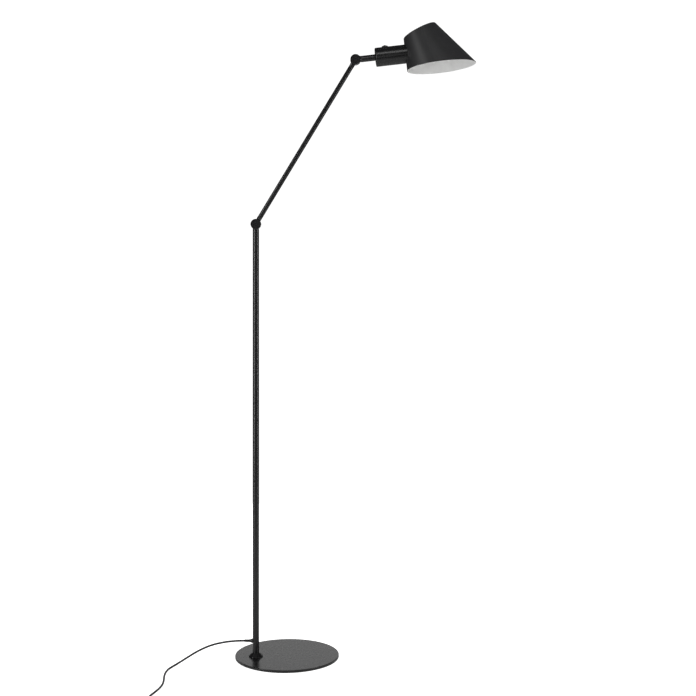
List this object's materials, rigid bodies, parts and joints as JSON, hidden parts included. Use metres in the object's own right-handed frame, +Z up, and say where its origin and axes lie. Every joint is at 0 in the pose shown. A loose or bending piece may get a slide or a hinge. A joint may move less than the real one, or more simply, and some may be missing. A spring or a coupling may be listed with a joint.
{
  "type": "floor lamp",
  "caption": "Adjustable arm floor lamp: round foot, off-centre sectional pole, clamp elbow and wrist, oblique cone shade and push switch on the lamp-holder housing.",
  "frame": {"origin": "centre of the round foot's underside, on the floor", "axes": "+Z up, +X the way the arm and head reach, +Y along the pivots, away from the viewer"},
  "size_m": [0.7752, 0.5295, 1.5881],
  "materials": {
    "black_paint": "satin black powder coat",
    "shade_paint": "satin black outside, matt white inside",
    "foam": "dark foam",
    "steel": "zinc-plated",
    "black_steel": "black oxide",
    "nylon": "white nylon",
    "black_plastic": "fine moulded black",
    "black_rubber": "black flexible plastic",
    "brass": "drawn brass",
    "opal": "opal white",
    "white_plastic": "white",
    "nickel": "nickel-plated",
    "lead_sleeve": "brown sleeving"
  },
  "bodies": {
    "stand": {"base_plate": "black_paint", "base_pad": "foam", "base_screw": "steel", "foot_insert": "steel", "pole_collar": "black_paint", "lower_pole": "black_paint", "lower_socket": "steel", "middle_stud": "steel", "middle_pole": "black_paint", "middle_socket": "steel", "top_stud": "steel", "top_pole": "black_paint", "elbow_pole_half": "black_paint", "elbow_washer": "nylon", "elbow_screw": "black_steel", "pole_cable": "black_rubber", "cord_relief": "black_rubber", "power_cord": "black_rubber", "cord_coil": "black_rubber", "cord_tail": "black_rubber", "plug_body": "black_rubber", "plug_pins": "nickel"},
    "arm": {"elbow_arm_half": "black_paint", "elbow_nut": "steel", "elbow_cap": "black_plastic", "arm_tube": "black_paint", "wrist_arm_half": "black_paint", "wrist_nut": "steel", "wrist_cap": "black_plastic", "arm_cable": "black_rubber"},
    "button": {"switch_button": "black_plastic"},
    "head": {"wrist_head_half": "black_paint", "wrist_washer": "nylon", "wrist_screw": "black_steel", "neck_tube": "black_paint", "neck_stud": "steel", "neck_nut": "steel", "housing_shell": "black_paint", "holder_bracket": "steel", "holder_nipple": "brass", "holder_nut": "steel", "lamp_holder": "black_plastic", "holder_shell": "brass", "holder_contact": "brass", "shade": "shade_paint", "shade_washer": "nylon", "shade_ring": "nylon", "bulb_globe": "opal", "bulb_body": "white_plastic", "bulb_cap": "nickel", "switch_body": "black_plastic", "switch_bezel": "black_plastic", "switch_spring": "steel", "head_cable": "black_rubber", "holder_leads": "lead_sleeve"}
  },
  "joints": [
    {"name": "elbow_hinge", "type": "hinge", "parent": "stand", "child": "arm", "pos_m": [-0.077, -0.019, 1.086], "axis": [0, 1, 0], "range_deg": [-31.2, 73.8]},
    {"name": "wrist_hinge", "type": "hinge", "parent": "arm", "child": "head", "pos_m": [0.17165, -0.019, 1.49657], "axis": [0, 1, 0], "range_deg": [-52.3, 52.7]},
    {"name": "switch_press", "type": "slide", "parent": "head", "child": "button", "axis": [0.1132, 0, -0.9936], "range_m": [0, 0.0014], "stiffness_N_per_m": 600, "springref_m": -0.001, "deforming": ["switch_spring"]}
  ]
}
